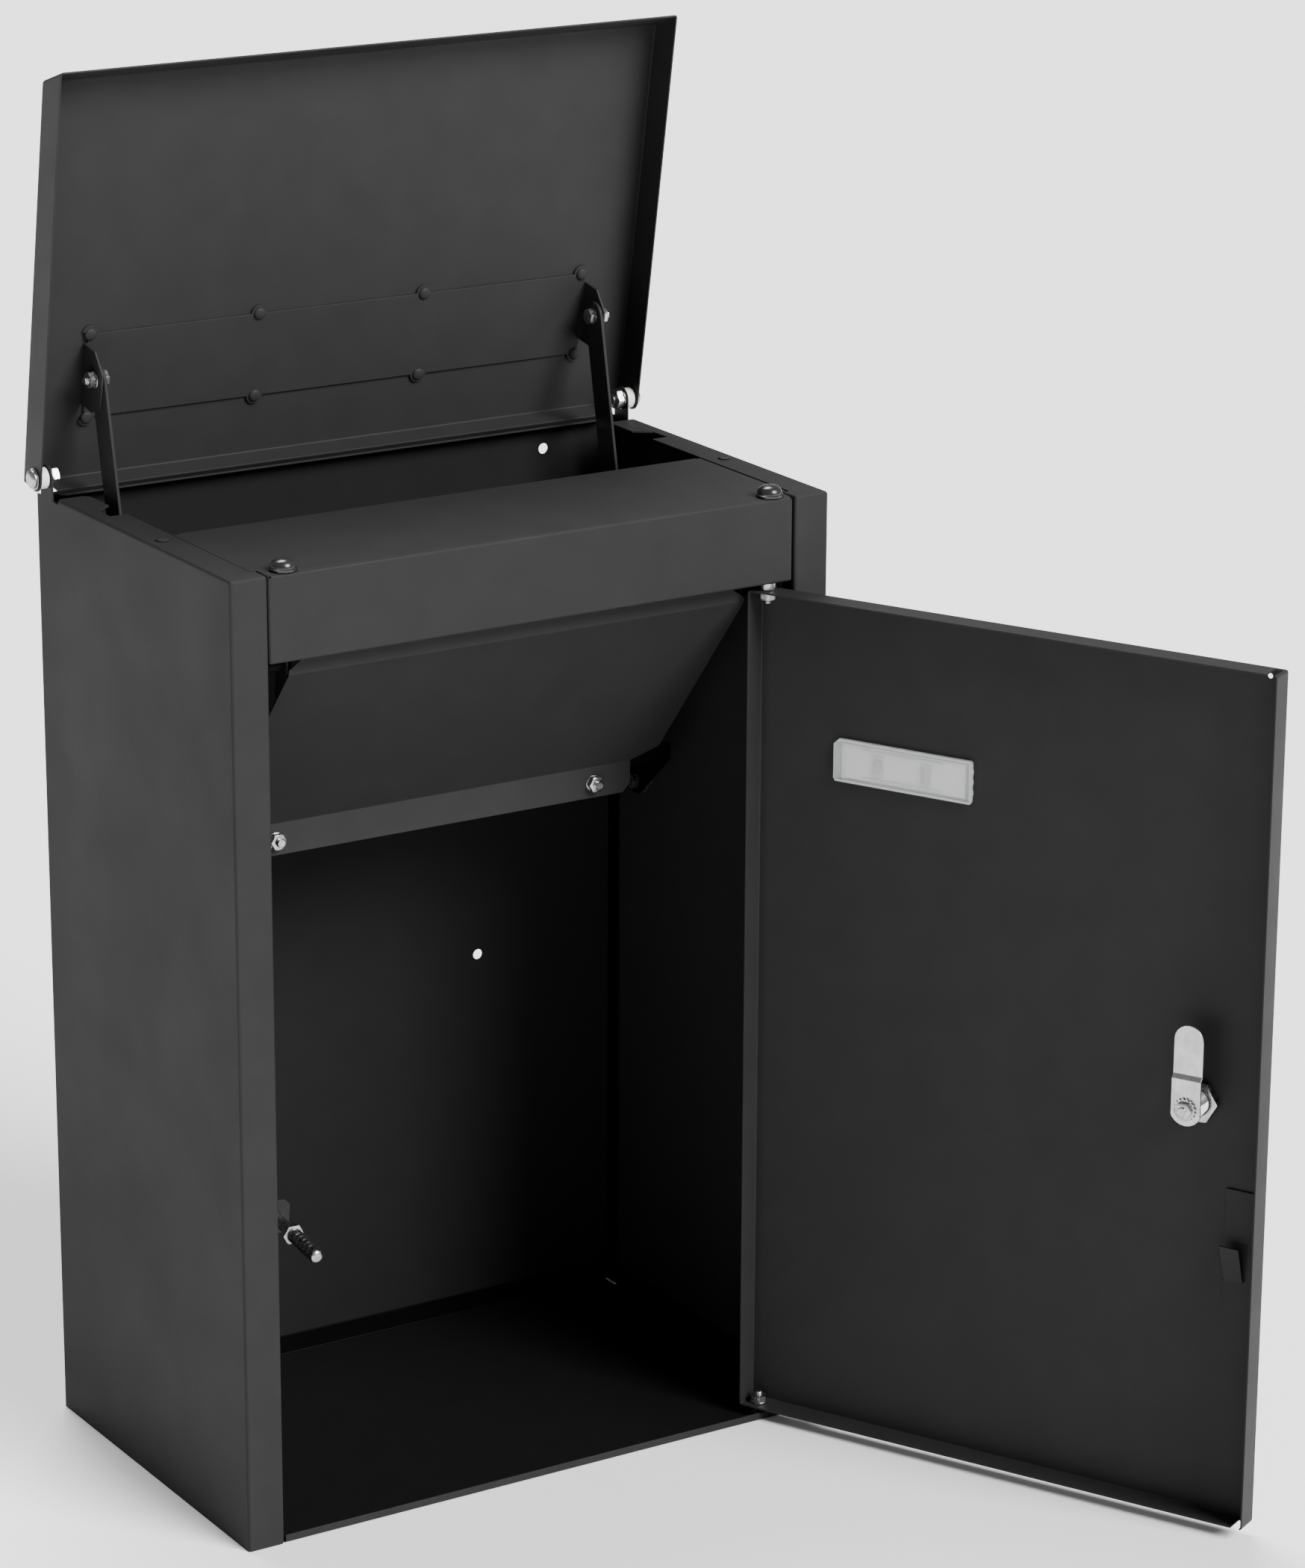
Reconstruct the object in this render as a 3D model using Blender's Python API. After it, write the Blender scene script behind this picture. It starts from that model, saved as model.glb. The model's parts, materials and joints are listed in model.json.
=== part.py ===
"""Wall-mounted steel parcel drop box, with its top lid and front door open.

Metres, +Z up, +X to the right, +Y to the back. The origin is the middle of the
underside. Run with: blender --background --python part.py

The box is folded sheet steel. The lid is hinged at the rear top edge. Two link
arms join it to a sloping baffle, hinged behind the header, which closes the
chute when the lid opens. The front door is hinged on its right edge and has a
cam lock. Each folded piece is given by the outer faces of its sheet; the bends
and the sheet's thickness are added by folded_sheet().
"""

import math

import bmesh
import bpy
from mathutils import Matrix, Vector

# ---------------------------------------------------------------- dimensions
SHEET = 0.0012  # sheet of the box, lid, door and baffle
BEND = 0.0020  # outside radius of a bend
BEND_STEPS = 3
GAP = 0.0003  # clearance between pieces that touch

# Body
HALF_W = 0.220
FRONT = -0.135
BACK = 0.135
HEIGHT = 0.650
JAMB_IN = 0.194  # half width of the front opening
JAMB_RETURN = 0.014  # depth of the jamb's inward return
SEAM = 0.001  # beside the sill
SHELF_SEAM = {-1: 0.0004, 1: 0.0017}  # the front top panel sits against the left jamb
MITRE_R = 0.00035  # the groove along the mitred top corner of the left side
RAIL_IN = 0.1984  # half width of the top opening
RAIL_REAR = 0.104
RAIL_NOTCH = ((0.0735, 0.0), (0.0648, 0.0116), (0.0475, 0.0121))  # (y, depth)
LINER = 0.2184  # half width of pieces that fit between the side panels
BACK_TOP = 0.6475
HEADER_Z = 0.593
SHELF_REAR = -0.0125
SILL = 0.0055

# Lid, in its own frame: origin on the hinge axis, closed and level
LID_AXIS = (0.121, 0.661)
LID_TILT = math.radians(-80.16)  # open, 9.84 degrees forward of upright
LID_HALF_W = 0.228
LID_TOP = 0.0169
LID_FRONT = -0.2647
LID_REAR = 0.0103
LID_DEPTH = 0.0254
LID_LIP = 0.0135  # how far the front lip flares forward
LID_REAR_FLANGE = 0.019
LID_REAR_HALF = 0.212
LID_STEP = 0.0024  # set-back of the skin beside the rear flange
LID_CORNER = 0.0085

# Lid bracket and link arms
BRACKET = 0.0015
BRACKET_Y = (-0.0902, -0.0322)
RIVET_X = (-0.186, -0.0624, 0.0624, 0.186)
RIVET_TAB = 0.006
EAR_X = 0.1904  # outer face of the lid bracket's ears
EAR_Y = (-0.0842, -0.0422)
EAR_DROP = 0.030
LINK_PIVOT = (-0.0661, -0.0041)  # in the lid's frame
ARM_X = (0.1866, 0.1886)
ARM_LENGTH = 0.320
ARM_HALF_W = 0.010
ARM_TILT = math.radians(-11.24)

# Baffle
BAFFLE_AXIS = (-0.104, 0.583)
BAFFLE_HALF = 0.169
BAFFLE_FOLD = (-0.1136, 0.5776)
BAFFLE_BEND = (-0.002, 0.4425)
BAFFLE_TOP = 0.603
BAFFLE_BOTTOM = 0.4205
BAFFLE_FLANGE_HALF = 0.151
BAFFLE_CLIP = (0.161, 0.586)
PIVOT_LOW = (0.0433, 0.4113)
BAFFLE_EAR_X = 0.185
BAFFLE_BOLT = (0.1215, 0.431)

# Door, in its own frame: origin on the hinge axis at floor level, closed
DOOR_AXIS = (0.1792, -0.1262)
DOOR_OPEN = math.radians(116.7)
DOOR_SKIN = -0.0088
DOOR_EDGE = 0.0092
DOOR_HINGE_X = 0.0100
DOOR_FREE_X = -0.3685
DOOR_Z = (0.0085, 0.5875)
CARD_X = (-0.151, -0.048)
CARD_Z = (0.4635, 0.4925)
LOCK = (-0.319, 0.293)
KEEPER_X = (-0.3655, -0.3410)
KEEPER_Z = (0.153, 0.237)

# Strike stud on its bracket behind the left jamb
STUD_ROOT = (-0.1555, -0.0575, 0.1925)
STUD_TILT = math.radians(8)

# Small round pieces
M6 = 0.0030
M6_HOLE = 0.0035
HEX_M6 = 0.0058  # to the corners
HEX_M8 = 0.0074
BUMPERS = ((-0.179, -0.127), (0.179, -0.127))
BUMPER_R = 0.009
BUMPER_H = 0.008
RAIL_RIVET = (0.210, -0.025)
WALL_HOLES = ((0.164, 0.6296), (0.1095, 0.270))
WALL_HOLE_R = 0.00375

SIDES = (("left", -1), ("right", 1))


# ------------------------------------------------------------------- helpers
def clear_scene():
    for obj in list(bpy.data.objects):
        bpy.data.objects.remove(obj, do_unlink=True)


def make_material(name, colour, roughness, metallic=0.0, alpha=1.0):
    material = bpy.data.materials.new(name)
    material.use_nodes = True
    shader = material.node_tree.nodes["Principled BSDF"]
    shader.inputs["Base Color"].default_value = (*colour, 1.0)
    shader.inputs["Roughness"].default_value = roughness
    shader.inputs["Metallic"].default_value = metallic
    shader.inputs["Alpha"].default_value = alpha
    return material


def make_axis(name, location, rotation=(0, 0, 0), parent=None):
    """An empty on a joint's axis, which the moving pieces are parented to."""
    empty = bpy.data.objects.new(name, None)
    empty.location = location
    empty.rotation_euler = rotation
    empty.parent = parent
    bpy.context.scene.collection.objects.link(empty)
    return empty


def make_object(name, bm, material, parent=None):
    mesh = bpy.data.meshes.new(name)
    bm.to_mesh(mesh)
    bm.free()
    obj = bpy.data.objects.new(name, mesh)
    if material:
        mesh.materials.append(material)
    obj.parent = parent
    bpy.context.scene.collection.objects.link(obj)
    return obj


def arc(centre, radius, start, end, steps):
    """Points on an arc in a plane; angles in degrees."""
    points = []
    for i in range(steps + 1):
        angle = math.radians(start + (end - start) * i / steps)
        points.append((centre[0] + radius * math.cos(angle), centre[1] + radius * math.sin(angle)))
    return points


def on_x(x, points):
    return [(x, y, z) for y, z in points]


def on_y(y, points):
    return [(x, y, z) for x, z in points]


def on_z(z, points):
    return [(x, y, z) for x, y in points]


def box_points(a, b):
    """The four corners of a rectangle."""
    return [(a[0], b[0]), (a[1], b[0]), (a[1], b[1]), (a[0], b[1])]


def mirrored(points, side):
    return [(side * p[0], p[1], p[2]) for p in points]


def folded_sheet(name, panels, facing, material, parent=None, thickness=SHEET, bend=BEND):
    """A folded sheet from the outer faces of its panels, which share their fold lines.

    facing is the outward direction of the first panel.
    """
    bm = bmesh.new()
    corners = {}
    for panel in panels:
        verts = []
        for point in panel:
            key = tuple(round(c, 6) for c in point)
            if key not in corners:
                corners[key] = bm.verts.new(key)
            verts.append(corners[key])
        bm.faces.new(verts)
    bmesh.ops.recalc_face_normals(bm, faces=bm.faces)
    bm.faces.ensure_lookup_table()
    if bm.faces[0].normal.dot(Vector(facing)) < 0:
        bmesh.ops.reverse_faces(bm, faces=bm.faces)
    folds = [edge for edge in bm.edges if len(edge.link_faces) == 2]
    bmesh.ops.bevel(
        bm, geom=folds, offset=bend, offset_type="OFFSET", segments=BEND_STEPS,
        profile=0.5, affect="EDGES", clamp_overlap=True,
    )
    obj = make_object(name, bm, material, parent)
    solid = obj.modifiers.new("thickness", "SOLIDIFY")
    solid.thickness = thickness
    solid.offset = -1
    solid.use_even_offset = True
    return obj


def prism(name, outline, lift, material, parent=None):
    """A flat plate: an outline of 3D points, moved through the vector lift."""
    bm = bmesh.new()
    face = bm.faces.new([bm.verts.new(p) for p in outline])
    made = bmesh.ops.extrude_face_region(bm, geom=[face])
    moved = [v for v in made["geom"] if isinstance(v, bmesh.types.BMVert)]
    bmesh.ops.translate(bm, verts=moved, vec=lift)
    bmesh.ops.recalc_face_normals(bm, faces=bm.faces)
    return make_object(name, bm, material, parent)


def hex_radius(corner, angle):
    """The distance from a hexagon's centre to its side at an angle."""
    turn = angle % math.radians(60) - math.radians(30)
    return corner * math.cos(math.radians(30)) / math.cos(turn)


def turned(name, stations, origin, direction, material, parent=None, sides=12, hollow=False):
    """A stack of rings along an axis. Each station is (distance, radius, shape).

    shape is "o" for round or "h" for a hexagon, whose radius is to its corners.
    A hollow stack joins its last ring to its first; a solid one has end caps.
    """
    bm = bmesh.new()
    frame = Vector(direction).to_track_quat("Z", "Y").to_matrix()
    rings = []
    for distance, radius, shape in stations:
        ring = []
        for i in range(sides):
            angle = 2 * math.pi * i / sides
            r = hex_radius(radius, angle) if shape == "h" else radius
            local = Vector((r * math.cos(angle), r * math.sin(angle), distance))
            ring.append(bm.verts.new(Vector(origin) + frame @ local))
        rings.append(ring)
    pairs = list(zip(rings, rings[1:]))
    if hollow:
        pairs.append((rings[-1], rings[0]))
    for low, high in pairs:
        for i in range(sides):
            j = (i + 1) % sides
            bm.faces.new((low[i], low[j], high[j], high[i]))
    if not hollow:
        bm.faces.new(rings[0])
        bm.faces.new(rings[-1])
    bmesh.ops.recalc_face_normals(bm, faces=bm.faces)
    obj = make_object(name, bm, material, parent)
    obj.data.shade_smooth()
    obj.data.set_sharp_from_angle(angle=math.radians(35))
    return obj


def cut(target, holes=(), boxes=()):
    """Cuts round holes (centre, direction, radius, length) and boxes (low, high)."""
    bm = bmesh.new()
    for centre, direction, radius, length in holes:
        turn = Vector(direction).to_track_quat("Z", "Y").to_matrix().to_4x4()
        bmesh.ops.create_cone(
            bm, cap_ends=True, segments=16, radius1=radius, radius2=radius,
            depth=length, matrix=Matrix.Translation(centre) @ turn,
        )
    for low, high in boxes:
        middle = (Vector(low) + Vector(high)) / 2
        size = Vector(high) - Vector(low)
        matrix = Matrix.Translation(middle) @ Matrix.Diagonal((*size, 1))
        bmesh.ops.create_cube(bm, size=1, matrix=matrix)
    cutter = make_object(target.name + "_cutter", bm, None, target.parent)
    cutter.hide_render = True
    cutter.display_type = "WIRE"
    boolean = target.modifiers.new("holes", "BOOLEAN")
    boolean.operation = "DIFFERENCE"
    boolean.object = cutter


# ---------------------------------------------------------------------- body
def side_panel(word, side, coat):
    """A side, its front jamb with an inward return, and the rail along its top."""
    ear_low, ear_high = LID_AXIS[0] - LID_CORNER, LID_AXIS[0] + LID_CORNER
    web = [(FRONT, 0), (FRONT, HEIGHT), (RAIL_REAR, HEIGHT), (RAIL_REAR, 0.6465), (ear_low, 0.6465)]
    web += arc(LID_AXIS, LID_CORNER, 180, 0, 8)
    web += [(ear_high, BACK_TOP), (BACK, BACK_TOP), (BACK, 0)]
    jamb = box_points((JAMB_IN, HALF_W), (0, HEIGHT))
    back_of_return = FRONT + JAMB_RETURN
    inner = box_points((FRONT, back_of_return), (0, HEIGHT))
    rail = [(HALF_W, FRONT), (HALF_W, RAIL_REAR), (RAIL_IN + 0.004, RAIL_REAR)]
    rail += [(RAIL_IN, RAIL_REAR - 0.004)]
    rail += [(RAIL_IN + depth, y) for y, depth in RAIL_NOTCH]
    rail += [(RAIL_IN, RAIL_NOTCH[-1][0]), (RAIL_IN, back_of_return)]
    rail += [(JAMB_IN, back_of_return), (JAMB_IN, FRONT)]
    panels = [on_x(HALF_W, web), on_y(FRONT, jamb), on_x(JAMB_IN, inner), on_z(HEIGHT, rail)]
    panels = [mirrored(panel, side) for panel in panels]
    panel = folded_sheet("side_panel_" + word, panels, (side, 0, 0), coat)
    holes = [
        ((side * HALF_W, *LID_AXIS), (1, 0, 0), 0.0044, 0.01),
        ((side * RAIL_RIVET[0], RAIL_RIVET[1], HEIGHT), (0, 0, 1), 0.0027, 0.01),
    ]
    boxes = []
    if side < 0:
        # the opening in the left return beside the strike stud
        boxes.append(((-0.197, back_of_return - 0.010, 0.200), (-0.190, back_of_return + 0.004, 0.238)))
        mitre = ((-HALF_W - RAIL_IN) / 2, FRONT + (HALF_W - RAIL_IN) / 2, HEIGHT)
        holes.append((mitre, (1, 1, 0), MITRE_R, 0.034))
    cut(panel, holes, boxes)


def back_panel(coat):
    """The back, with flanges turned forward along its sides and its top edge."""
    side_depth, top_depth, mitre = 0.015, 0.012, 0.014
    flange = [(BACK, 0), (BACK, BACK_TOP)]
    flange += [(BACK - side_depth, BACK_TOP - mitre - 0.003), (BACK - side_depth, 0)]
    top = [(-LINER, BACK), (LINER, BACK)]
    top += [(LINER - mitre, BACK - top_depth), (-LINER + mitre, BACK - top_depth)]
    panels = [
        on_y(BACK, box_points((-LINER, LINER), (0, BACK_TOP))),
        on_x(-LINER, flange),
        on_x(LINER, flange),
        on_z(BACK_TOP, top),
    ]
    panel = folded_sheet("back_panel", panels, (0, 1, 0), coat)
    holes = []
    for x, z in WALL_HOLES:
        for side in (-1, 1):
            holes.append(((side * x, BACK, z), (0, 1, 0), WALL_HOLE_R, 0.01))
    cut(panel, holes)


def base_pan(coat):
    """The floor, with a low front lip and upturned side and rear edges."""
    lip_half = JAMB_IN - SEAM
    notch_y = FRONT + JAMB_RETURN + 0.0015
    side_end = 0.118
    rear = BACK - SHEET - 0.0004
    rear_half = 0.214
    wall = 0.015
    right = [(lip_half, FRONT), (lip_half, notch_y), (LINER, notch_y), (LINER, side_end)]
    right += [(rear_half, side_end), (rear_half, rear)]
    floor = right + [(-x, y) for x, y in reversed(right)]
    panels = [
        on_z(0, floor),
        on_y(FRONT, box_points((-lip_half, lip_half), (0, SILL))),
        on_y(rear, box_points((-rear_half, rear_half), (0, wall))),
        on_x(LINER, box_points((notch_y, side_end), (0, wall))),
        on_x(-LINER, box_points((notch_y, side_end), (0, wall))),
    ]
    pan = folded_sheet("base_pan", panels, (0, 0, -1), coat)
    cut(pan, [((*DOOR_AXIS, 0), (0, 0, 1), M6_HOLE, 0.01)])


def front_top_panel(coat):
    """The shelf over the front, its fascia, and the tabs that the baffle hangs on."""
    left, right = (side * (JAMB_IN - SHELF_SEAM[side]) for side in (-1, 1))
    wide_left, wide_right = (side * (RAIL_IN - SHELF_SEAM[side]) for side in (-1, 1))
    step = FRONT + JAMB_RETURN + 0.0015
    rear_half = 0.194
    rear_step = SHELF_REAR - 0.003
    shelf = [(right, FRONT), (right, step), (wide_right, step), (wide_right, rear_step)]
    shelf += [(rear_half, rear_step), (rear_half, SHELF_REAR), (-rear_half, SHELF_REAR)]
    shelf += [(-rear_half, rear_step), (wide_left, rear_step), (wide_left, step), (left, step)]
    shelf.append((left, FRONT))
    tab = 0.0095
    y, z = BAFFLE_AXIS
    end = [(FRONT, HEADER_Z), (FRONT, HEIGHT), (step, HEIGHT), (step, HEIGHT - 0.008)]
    end += [(y + tab, HEIGHT - 0.008)]
    end += arc(BAFFLE_AXIS, tab, 0, -180, 8)
    end += [(y - tab, HEADER_Z + 0.0035), (step, HEADER_Z + 0.0035), (step, HEADER_Z)]
    panels = [
        on_z(HEIGHT, shelf),
        on_y(FRONT, box_points((left, right), (HEADER_Z, HEIGHT))),
        on_z(HEADER_Z, box_points((left, right), (FRONT, step))),
        on_y(SHELF_REAR, box_points((-rear_half, rear_half), (HEIGHT - 0.014, HEIGHT))),
        on_x(right, end),
        on_x(left, end),
    ]
    panel = folded_sheet("front_top_panel", panels, (0, 0, 1), coat)
    holes = [((x, y, HEIGHT), (0, 0, 1), 0.0028, 0.01) for x, y in BUMPERS]
    holes.append(((*DOOR_AXIS, HEADER_Z), (0, 0, 1), M6_HOLE, 0.01))
    for x in (left, right):
        holes.append(((x, *BAFFLE_AXIS), (1, 0, 0), M6_HOLE, 0.01))
    cut(panel, holes)


def shelf_bumpers(rubber):
    """Domed rubber buffers pushed into the shelf, which the closed lid rests on."""
    for (word, _), (x, y) in zip(SIDES, BUMPERS):
        r = BUMPER_R
        dome = [(GAP, r, "o"), (0.0035, r, "o")]
        for i in range(1, 5):
            angle = math.radians(90 * i / 5)
            dome.append((0.0035 + (BUMPER_H - 0.0035) * math.sin(angle), r * math.cos(angle) ** 0.7, "o"))
        dome.append((BUMPER_H, 0.0015, "o"))
        stem = [(-0.0045, 0.0018, "o"), (-0.0035, 0.0024, "o"), (GAP, 0.0024, "o")]
        turned("bumper_" + word, stem + dome, (x, y, HEIGHT), (0, 0, 1), rubber, sides=24)


def rail_rivets(coat):
    for word, side in SIDES:
        place = (side * RAIL_RIVET[0], RAIL_RIVET[1], HEIGHT)
        head = [(-0.0030, 0.0023, "o"), (GAP, 0.0023, "o"), (GAP, 0.0042, "o"), (0.0009, 0.0041, "o")]
        head.append((0.0014, 0.0028, "o"))
        turned("rail_rivet_" + word, head, place, (0, 0, 1), coat)


def lid_hinges(zinc, nylon):
    """The shoulder bolts that the lid turns on, with a spacer on each."""
    inner = HALF_W - SHEET
    outer = LID_HALF_W
    for word, side in SIDES:
        centre = (0, *LID_AXIS)
        shank = 0.0040
        bolt = [
            (inner - 0.0075, shank, "o"), (inner - 0.0058, shank, "o"), (inner - 0.0058, HEX_M8, "h"),
            (inner - GAP, HEX_M8, "h"), (inner - GAP, shank, "o"), (outer + GAP, shank, "o"),
            (outer + GAP, 0.0072, "o"), (outer + 0.0030, 0.0068, "o"), (outer + 0.0045, 0.0045, "o"),
        ]
        turned("lid_hinge_bolt_" + word, bolt, centre, (side, 0, 0), zinc)
        low, high = HALF_W + GAP, LID_HALF_W - SHEET - GAP
        ring = [(low, 0.0044, "o"), (low, 0.0070, "o"), (high, 0.0070, "o"), (high, 0.0044, "o")]
        turned("lid_hinge_spacer_" + word, ring, centre, (side, 0, 0), nylon, hollow=True)


# ----------------------------------------------------------------------- lid
def lid_pan(axis, coat):
    """The lid: side flanges round off at the hinge, and the front lip flares out."""
    low = LID_TOP - LID_DEPTH
    step_y = LID_REAR - LID_STEP
    lip_y = LID_FRONT - LID_LIP
    flange = [(LID_FRONT, LID_TOP), (step_y, LID_TOP)]
    start = math.degrees(math.acos(step_y / LID_CORNER))
    flange += arc((0, 0), LID_CORNER, start, -90, 8) + [(lip_y, low)]
    right = [(LID_HALF_W, LID_FRONT), (LID_HALF_W, step_y), (LID_REAR_HALF, step_y)]
    right.append((LID_REAR_HALF, LID_REAR))
    skin = right + [(-x, y) for x, y in reversed(right)]
    lip = [(-LID_HALF_W, LID_FRONT, LID_TOP), (LID_HALF_W, LID_FRONT, LID_TOP)]
    lip += [(LID_HALF_W, lip_y, low), (-LID_HALF_W, lip_y, low)]
    rear_low = LID_TOP - LID_REAR_FLANGE
    panels = [
        on_z(LID_TOP, skin),
        on_x(LID_HALF_W, flange),
        on_x(-LID_HALF_W, flange),
        lip,
        on_y(LID_REAR, box_points((-LID_REAR_HALF, LID_REAR_HALF), (rear_low, LID_TOP))),
    ]
    pan = folded_sheet("lid_pan", panels, (0, 0, 1), coat, axis)
    cut(pan, [((side * LID_HALF_W, 0, 0), (1, 0, 0), 0.0044, 0.01) for side in (-1, 1)])


def lid_bracket(axis, coat):
    """The strip riveted inside the lid. Its ends turn down into ears for the link arms."""
    top = LID_TOP - SHEET - GAP
    front, rear = BRACKET_Y
    notch = EAR_X - 0.0024
    edge = [(notch, EAR_Y[1]), (notch, rear)]
    for x in reversed(RIVET_X):
        edge += arc((x, rear), RIVET_TAB, 0 if x < RIVET_X[-1] else 20, 180 if x > RIVET_X[0] else 160, 6)
    edge += [(-notch, rear), (-notch, EAR_Y[1]), (-EAR_X, EAR_Y[1]), (-EAR_X, EAR_Y[0])]
    edge += [(-notch, EAR_Y[0]), (-notch, front)]
    for x in RIVET_X:
        edge += arc((x, front), RIVET_TAB, 180 if x > RIVET_X[0] else 200, 360 if x < RIVET_X[-1] else 340, 6)
    edge += [(notch, front), (notch, EAR_Y[0]), (EAR_X, EAR_Y[0]), (EAR_X, EAR_Y[1])]
    low = top - EAR_DROP + 0.001
    ear = [(EAR_Y[0], top), (EAR_Y[1], top), (EAR_Y[1], low + 0.012), (EAR_Y[1] - 0.007, low)]
    ear += [(EAR_Y[0] + 0.012, low), (EAR_Y[0], low + 0.012)]
    panels = [on_z(top, edge), on_x(EAR_X, ear), on_x(-EAR_X, ear)]
    strip = folded_sheet("lid_bracket", panels, (0, 0, 1), coat, axis, BRACKET)
    holes = [((x, y, top), (0, 0, 1), 0.0025, 0.01) for x in RIVET_X for y in BRACKET_Y]
    holes += [((side * EAR_X, *LINK_PIVOT), (1, 0, 0), M6_HOLE, 0.01) for side in (-1, 1)]
    cut(strip, holes)


def lid_rivets(axis, coat):
    """Eight domed rivets, four along each edge of the strip."""
    face = LID_TOP - SHEET - GAP - BRACKET
    head = [
        (-BRACKET, 0.0021, "o"), (GAP, 0.0021, "o"), (GAP, 0.0042, "o"), (0.0008, 0.0041, "o"),
        (0.0016, 0.0032, "o"), (0.0020, 0.0014, "o"),
    ]
    for row, y in zip(("front", "rear"), BRACKET_Y):
        for number, x in enumerate(RIVET_X, 1):
            turned(f"lid_rivet_{row}_{number}", head, (x, y, face), (0, 0, -1), coat, axis)


def upper_pivots(axis, zinc):
    """The bolts that join the link arms to the lid bracket's ears."""
    inner = ARM_X[0] - GAP
    for word, side in SIDES:
        bolt = [
            (inner - 0.0042, HEX_M6, "h"), (inner, HEX_M6, "h"), (inner, M6, "o"),
            (EAR_X + GAP, M6, "o"), (EAR_X + GAP, HEX_M6, "h"), (EAR_X + 0.0055, HEX_M6, "h"),
            (EAR_X + 0.0055, M6, "o"), (EAR_X + 0.0078, M6 - 0.0004, "o"),
        ]
        turned("upper_pivot_bolt_" + word, bolt, (0, *LINK_PIVOT), (side, 0, 0), zinc, axis)


def link_arms(axes, coat, zinc):
    """Flat bars from the lid to the baffle, each with the nut on its lower end."""
    for word, side in SIDES:
        axis = axes[word]
        outline = arc((0, 0), ARM_HALF_W, 0, 180, 10)
        outline += arc((0, -ARM_LENGTH), ARM_HALF_W, 180, 360, 10)
        width = ARM_X[1] - ARM_X[0]
        bar = prism("link_arm_" + word, on_x(side * ARM_X[0], outline), (side * width, 0, 0), coat, axis)
        cut(bar, [((side * ARM_X[0], 0, z), (1, 0, 0), M6_HOLE, 0.01) for z in (0, -ARM_LENGTH)])
        nut = [
            (ARM_X[0] - GAP, M6, "o"), (ARM_X[1] + GAP, M6, "o"), (ARM_X[1] + GAP, HEX_M6, "h"),
            (ARM_X[1] + 0.0055, HEX_M6, "h"), (ARM_X[1] + 0.0055, M6, "o"),
            (ARM_X[1] + 0.0078, M6 - 0.0004, "o"),
        ]
        turned("lower_pivot_nut_" + word, nut, (0, 0, -ARM_LENGTH), (side, 0, 0), zinc, axis)


# -------------------------------------------------------------------- baffle
def to_baffle(y, z):
    """A place in the baffle's frame, whose origin is on its hinge axis."""
    return (y - BAFFLE_AXIS[0], z - BAFFLE_AXIS[1])


def baffle_plate(axis, coat):
    """The sloping plate, its upright strip, its lower flange and its hinge ears."""
    fold, bend = Vector(to_baffle(*BAFFLE_FOLD)), Vector(to_baffle(*BAFFLE_BEND))
    slope = (bend - fold).normalized()
    behind = Vector((-slope.y, slope.x))
    ear_start, ear_end, chamfer = 0.0035, 0.026, 0.012
    half = BAFFLE_HALF

    def at(x, distance, height=0.0):
        point = fold + slope * distance + behind * height
        return (x, point.x, point.y)

    length = (bend - fold).length
    right = [at(half, 0), at(half, ear_start), at(half, ear_end), at(half, length - chamfer)]
    right.append(at(BAFFLE_FLANGE_HALF, length))
    plate = right + [(-x, y, z) for x, y, z in reversed(right)]
    top_z = BAFFLE_TOP - BAFFLE_AXIS[1]
    clip_x, clip_z = BAFFLE_CLIP[0], BAFFLE_CLIP[1] - BAFFLE_AXIS[1]
    strip = [(half, fold.y), (half, fold.y + 0.003), (clip_x, clip_z), (clip_x, top_z)]
    strip += [(-x, z) for x, z in reversed(strip)]
    low = BAFFLE_BOTTOM - BAFFLE_AXIS[1]
    flange = [(BAFFLE_FLANGE_HALF, bend.y), (BAFFLE_FLANGE_HALF, low + 0.006)]
    flange.append((BAFFLE_FLANGE_HALF - 0.006, low))
    flange += [(-x, z) for x, z in reversed(flange)]
    # the ear, in distances along the plate and behind it, is round about the axis
    along, height = -fold.dot(slope), -fold.dot(behind)
    ear = [(ear_end, 0), (ear_start, 0), (ear_start, 0.0026)]
    ear += arc((along, height), 0.0068, 230, 40, 8) + [(ear_end, 0.004)]
    panels = [plate, on_y(fold.x, strip), on_y(bend.x, flange)]
    for side in (-1, 1):
        panels.append([at(side * half, t, h) for t, h in ear])
    sheet = folded_sheet("baffle_plate", panels, (0, -behind.x, -behind.y), coat, axis, bend=0.0018)
    bolt_z = BAFFLE_BOLT[1] - BAFFLE_AXIS[1]
    holes = [((side * BAFFLE_BOLT[0], bend.x, bolt_z), (0, 1, 0), M6_HOLE, 0.01) for side in (-1, 1)]
    holes += [((side * half, 0, 0), (1, 0, 0), M6_HOLE, 0.006) for side in (-1, 1)]
    cut(sheet, holes)


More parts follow.
